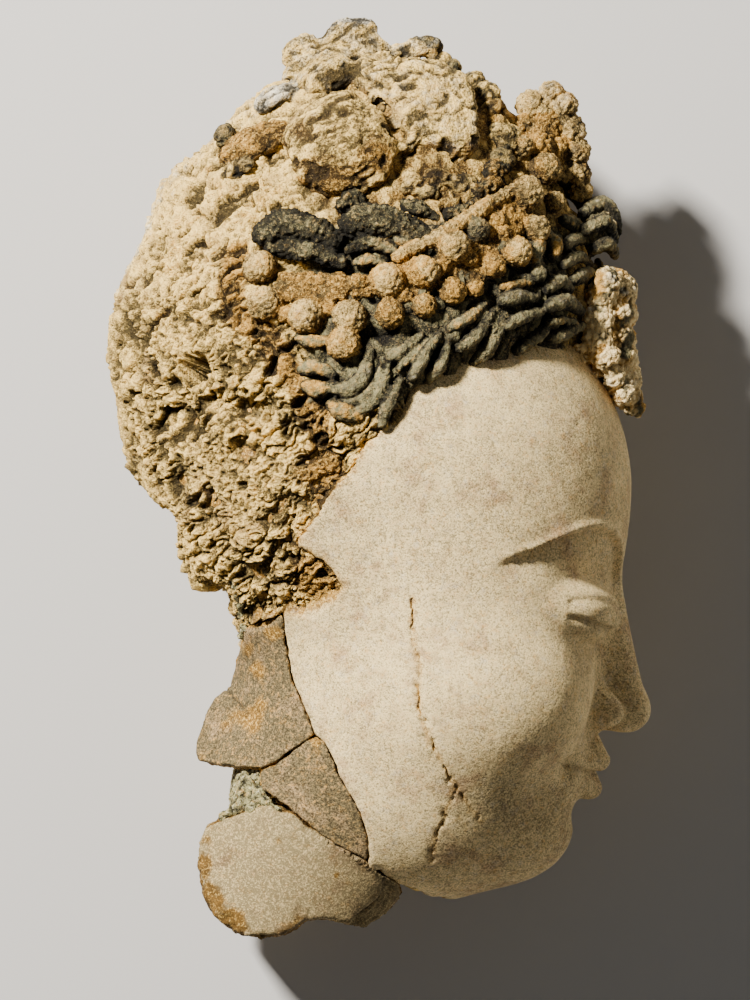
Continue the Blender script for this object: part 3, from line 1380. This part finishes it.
class HEAD_OT_topknot(bpy.types.Operator):
    """Build the lumps, boss and slab of the worn topknot"""

    bl_idname = "clay_head.topknot"
    bl_label = "Topknot"

    def execute(self, context):
        clay = bmesh.new()
        entries = []
        for side in (1, -1):
            for x, y, long, wide, height, turn, *shares in LUMPS:
                point, normal = seats().seat((x, y), side)
                radii = (metres(long), metres(wide), metres(height))
                turned = tangent_frame(normal, math.radians(turn))
                add_ball(clay, point, radii, turned)
                for share in (-0.5, 0, 0.5):
                    offset = turned @ Vector((radii[0] * share, 0, radii[2] * 0.7))
                    entries.append((tuple(point + offset), metres(wide), shares, normal))
            for outline, thickness, dome, *shares in (
                (BOSS, 22, 0.45, 0.1, 0.40, 0.0), (SLAB, 26, 0.05, 0.5, 0.1, 0.0),
            ):
                add_slab(clay, outline, thickness, side, dome)
                point, normal = seats().seat(np.mean(outline, axis=0), side)
                centre = tuple(point + normal * metres(8))
                entries.append((centre, metres(46), shares, normal))
        mesh = remeshed("topknot", clay, sizes().near_grain * 1.5, 2)
        relief, crumbs = rough_clay(mesh_points(mesh) / unit(), 60)
        points = to_units(mesh_points(mesh))
        near = points[:, 2] > 0
        strayed = points + 0.8 * stray(points, 4, (61, 62))
        crack = bump(line_distance(strayed, *KNOT_CRACKS), 0.9)
        for x, y, radius in KNOT_HOLES:
            hole = bump(spot_distance(points, (x, y)), radius * UNITS_PER_PIXEL)
            crack = np.maximum(crack, hole)
        crack = crack * near
        wear(mesh, 0.42 * relief - 2.6 * crack)
        places = mesh_points(mesh)
        shares, _ = masks_from(places, entries)
        pale, orange, grey = shares.T
        normals = mesh_normals(mesh)
        top = ramp(seats().height(places), 0.001, metres(18))
        downward = ramp(-normals[:, 1] - 0.3 * normals[:, 2], 0.0, 0.8)
        dark = np.clip(0.5 - 1.6 * top, 0, 0.8) + np.clip(-0.3 * crumbs - 0.12, 0, 0.5)
        stain = orange + patches(points, KNOT_STAINS)
        paint(
            mesh,
            ochre=stain + 0.5 * downward - 0.15 * crumbs - 0.25,
            pigment=0.75 * grey,
            pale=0.62 * pale,
            shade=np.maximum(dark, 0.9 * crack),
            tone=0.56 + 0.5 * crumbs + patches(points, KNOT_TONES),
        )
        add_piece("topknot", mesh, finish("straw_clay"))
        return {"FINISHED"}


class HEAD_OT_crest(bpy.types.Operator):
    """Build the crest over the forehead and the forelock below it"""

    bl_idname = "clay_head.crest"
    bl_label = "Crest and Forelock"

    def execute(self, context):
        self.build_crest(sizes().median_height)
        self.build_forelock(sizes().median_height)
        return {"FINISHED"}

    def build_crest(self, middle):
        clay = bmesh.new()
        entries = []
        for x, y, radius, spread, pale, orange in CREST:
            size = metres(radius)
            for side in (-1, 1):
                point, normal = seats().seat((x, y), side)
                centre = over_spot((x, y), middle + side * spread * size)
                if abs(point.z - middle) > spread * size:
                    centre = point + normal * size * 0.3
                    between = over_spot((x, y), middle + (centre.z - middle) / 2)
                    add_ball(clay, between, (size,) * 3)
                add_ball(clay, centre, (size, size, size * 1.2))
                entries.append((tuple(centre), size, (pale, orange), (0.5, 0.5, side * 0.7)))
        mesh = remeshed("crest", clay, sizes().near_grain, 2)
        relief = crumbled(mesh, sizes().crumble * 1.3, 5, 2.2, 70)
        shares, _ = masks_from(mesh_points(mesh), entries)
        paint(
            mesh,
            ochre=shares[:, 1] + 0.3 * relief,
            pale=shares[:, 0] * 0.4,
            shade=np.clip(-relief - 0.35, 0, 0.5),
            tone=0.5 + 0.35 * relief,
        )
        add_piece("crest", mesh, finish("bead_clay"))

    def build_forelock(self, middle):
        clay = bmesh.new()
        add_forelock(clay)
        for x, y, radius in FORELOCK_SIDES:
            size = metres(radius)
            for side in (-1, 1):
                point, normal = seats().seat((x, y), side)
                centre = point + normal * size * 0.25
                if abs(centre.z - middle) < size:
                    centre.z = middle + side * size
                add_ball(clay, centre, (size,) * 3)
        mesh = remeshed("forelock", clay, sizes().near_grain, 3)
        relief = crumbled(mesh, sizes().crumble * 1.5, 6, 2.4, 80)
        points = to_units(mesh_points(mesh))
        slots = 0 * relief
        for x, y, wide, high in FORELOCK_SLOTS:
            px, py = spot((x, y))
            reach = np.hypot((points[:, 0] - px) / wide, (points[:, 1] - py) / high)
            slots = np.maximum(slots, bump(reach / UNITS_PER_PIXEL, 1) * (points[:, 2] > 0))
        curl = 1 - ramp(spot_distance(points, CURL), 11, 15)
        paint(
            mesh,
            ochre=0.3 + 0.8 * grain(points, 7, 83) - 0.3 * relief - curl,
            pigment=0.22 - 0.8 * grain(points, 6, 84) - 0.3 * relief + curl,
            pale=0.05 + 0.4 * grain(points, 5, 85) + 0.15 * relief - curl,
            shade=np.maximum(np.clip(-relief - 0.5, 0, 0.4), 0.8 * slots),
            tone=0.88 + 0.3 * relief - 0.5 * curl,
        )
        add_piece("forelock", mesh, finish("forelock_clay"))


class HEAD_OT_fragments(bpy.types.Operator):
    """Build the mended pieces of the jaw and neck, and the mortar behind them"""

    bl_idname = "clay_head.fragments"
    bl_label = "Mended Pieces"

    def execute(self, context):
        # Node, piece, finish, mesh size, share of stains and tone
        pieces = (
            ("jaw_fragment_upper", "jaw_piece_upper", "set_skin", 0.0008, 0.45, 0.40),
            ("jaw_fragment_lower", "jaw_piece_lower", "set_skin", 0.0007, 0.2, 0.40),
            ("neck_fragment", "neck_piece", "fine_skin", 0.0011, 0.1, 0.16),
            ("mortar_fill", "mortar_bed", "mortar_grains", 0.0009, 0.0, 0.55),
        )
        for node, name, kind, voxel, stain, tone in pieces:
            clay = bmesh.new()
            clay.from_mesh(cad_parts[node].data)
            bmesh.ops.remove_doubles(clay, verts=clay.verts, dist=1e-6)
            if name == "jaw_piece_upper":
                add_tip(clay, TORN_TIP, 9)
            if name == "mortar_bed":
                self.add_smears(clay)
                mesh = remeshed(name, clay, voxel, 3)
                self.wear_mortar(mesh, tone)
            else:
                mesh = remeshed(name, clay, voxel, 3)
                self.wear_piece(mesh, name == "neck_piece", stain, tone)
            add_piece(name, mesh, finish(kind), [node])
        return {"FINISHED"}

    def add_smears(self, clay):
        for x, y, radius in SMEARS:
            point, normal = seats().seat((x, y))
            size = metres(radius)
            add_ball(clay, point - normal * size * 0.8, (size,) * 3, subdivisions=2)

    def facing(self, mesh):
        """How squarely the surface faces out of the skin, and its distance to the skin."""
        step = 0.5
        gap = skin(to_units(mesh_points(mesh)))
        ahead = skin(to_units(pushed_out(mesh, np.full(len(gap), step))))
        return (ahead - gap) / step, gap

    def roughness(self, points):
        rough = 0.7 * grain(points, 7, 90) + 0.5 * grain(points, 2.4, 91)
        return rough - 0.5 * np.abs(grain(points, 1.4, 92))

    def wear_mortar(self, mesh, tone):
        points = to_units(mesh_points(mesh))
        crumb, _ = clods(points, 1.8, 94)
        wear(mesh, 1.2 * (0.5 - crumb) + 0.5 * self.roughness(points) - 0.2)
        paint(mesh, tone=tone + 1.8 * (0.5 - crumb))

    def wear_piece(self, mesh, is_neck, stain, tone):
        """Lays a piece's outer face in line with the skin, and wears and stains it."""
        for _ in range(3):
            facing, gap = self.facing(mesh)
            near_skin = (1 - ramp(np.abs(gap), 0.9, 1.8)) * ramp(facing, 0.8, 0.97)
            set_points(mesh, pushed_out(mesh, -gap * near_skin))
        facing, gap = self.facing(mesh)
        points = to_units(mesh_points(mesh))
        rough = self.roughness(points)
        relief, _ = rough_clay(points, 97)
        inner = ramp(-gap, 0.8, 2.2)
        wall = 1 - ramp(np.abs(facing), 0.5, 0.9)
        grown = 0.4 + 0.5 * grain(points, 4, 95) + 0.3 * grain(points, 1.7, 96)
        grown += 1.2 * is_neck * bump(line_distance(points, JAW_SEAM), 5)
        crack = bump(line_distance(points, JAW_CRACK), 0.5) * (1 - inner)
        move = wall * grown + (rough - 0.2) * 0.08 + 0.45 * inner * relief - 0.7 * crack
        stained = 0.8 * inner + stain * ramp(grain(points, 13, 93), -0.2, 0.8)
        stained = stained + patches(points, STAINS)
        shade = 0.8 * crack
        if is_neck:
            chip = ramp(-outline_distance(points, NECK_CHIP), -0.4, 0.6)
            edge = bump(line_distance(points, NECK_CRUMBLE), 6)
            split = bump(line_distance(points, NECK_CRACK), 0.7) * (1 - inner)
            crumb, _ = clods(points, 2.1, 94)
            broken = np.maximum(chip, edge) * (1.6 * (0.5 - crumb) + rough - 0.5)
            move = move + (broken - 1.2 * chip - 1.3 * split) * (1 - wall)
            stained = stained + 0.55 * edge * (1 - wall) - 0.2 * chip
            shade = np.maximum(shade, 0.75 * split)
        wear(mesh, move)
        paint(mesh, ochre=stained, shade=shade, tone=tone + 0.3 * inner * rough)


class HEAD_OT_stage(bpy.types.Operator):
    """Set out the floor, the lights and the camera that looks straight down"""

    bl_idname = "clay_head.stage"
    bl_label = "Stage"

    def execute(self, context):
        settings = context.scene.clay_stage
        middle = Vector((-9.4 * unit(), -50.7 * unit(), sizes().median_height))
        floor_clay = bmesh.new()
        bmesh.ops.create_grid(floor_clay, x_segments=1, y_segments=1, size=6)
        floor_mesh = bpy.data.meshes.new("floor")
        floor_clay.to_mesh(floor_mesh)
        floor_clay.free()
        floor = new_object("floor", floor_mesh)
        material, _, shader = new_finish("floor")
        shader.inputs["Base Color"].default_value = rgba(settings.floor_colour)
        shader.inputs["Roughness"].default_value = 0.9
        floor_mesh.materials.append(material)

        # Name, place in metres from the head, size, power and tint
        lights = (
            ("key", (-0.95, 1.0, 1.3), 0.22, settings.key_power, (1.0, 0.95, 0.87)),
            ("fill", (1.1, -0.5, 1.2), 1.2, settings.fill_power, (1.0, 0.97, 0.92)),
        )
        for name, place, size, power, tint in lights:
            data = bpy.data.lights.new(name, "AREA")
            data.size = size
            data.energy = power
            data.color = tint
            lamp = new_object(name, data)
            lamp.location = middle + Vector(place)
            lamp.rotation_euler = (-Vector(place)).to_track_quat("-Z", "Y").to_euler()

        world = bpy.data.worlds.new("studio")
        world.use_nodes = True
        background = world.node_tree.nodes["Background"]
        background.inputs["Color"].default_value = (1, 0.98, 0.95, 1)
        background.inputs["Strength"].default_value = settings.sky
        context.scene.world = world

        data = bpy.data.cameras.new("camera")
        data.lens = settings.lens
        data.clip_end = 50
        camera = new_object("camera", data)
        frame_height = metres(PHOTO_HEIGHT)
        distance = frame_height * settings.lens / data.sensor_width
        camera.location = middle + Vector((0, 0, distance))
        context.scene.camera = camera
        return {"FINISHED"}


class HEAD_PT_panel(bpy.types.Panel):
    bl_label = "Clay Head"
    bl_idname = "HEAD_PT_panel"
    bl_space_type = "VIEW_3D"
    bl_region_type = "UI"
    bl_category = "Clay Head"

    def draw(self, context):
        for group in SETTINGS:
            box = self.layout.box()
            settings = getattr(context.scene, group)
            for name in settings.__annotations__:
                box.prop(settings, name)
        for operator in OPERATORS:
            self.layout.operator(operator.bl_idname)


SETTINGS = {
    "head_sizes": HeadSizes,
    "clay_colours": ClayColours,
    "clay_stage": StageSettings,
}
OPERATORS = (
    HEAD_OT_stage,
    HEAD_OT_skin,
    HEAD_OT_core,
    HEAD_OT_locks,
    HEAD_OT_diadem,
    HEAD_OT_topknot,
    HEAD_OT_crest,
    HEAD_OT_fragments,
)
CLASSES = (*SETTINGS.values(), *OPERATORS, HEAD_PT_panel)


def register():
    for cls in CLASSES:
        bpy.utils.register_class(cls)
    for name, cls in SETTINGS.items():
        setattr(bpy.types.Scene, name, bpy.props.PointerProperty(type=cls))


def unregister():
    for name in SETTINGS:
        delattr(bpy.types.Scene, name)
    for cls in reversed(CLASSES):
        bpy.utils.unregister_class(cls)


def main():
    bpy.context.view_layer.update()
    register()
    bpy.ops.clay_head.stage()
    bpy.ops.clay_head.skin()
    bpy.ops.clay_head.core()
    bpy.ops.clay_head.locks()
    bpy.ops.clay_head.diadem()
    bpy.ops.clay_head.topknot()
    bpy.ops.clay_head.crest()
    bpy.ops.clay_head.fragments()


if __name__ == "__main__":
    main()
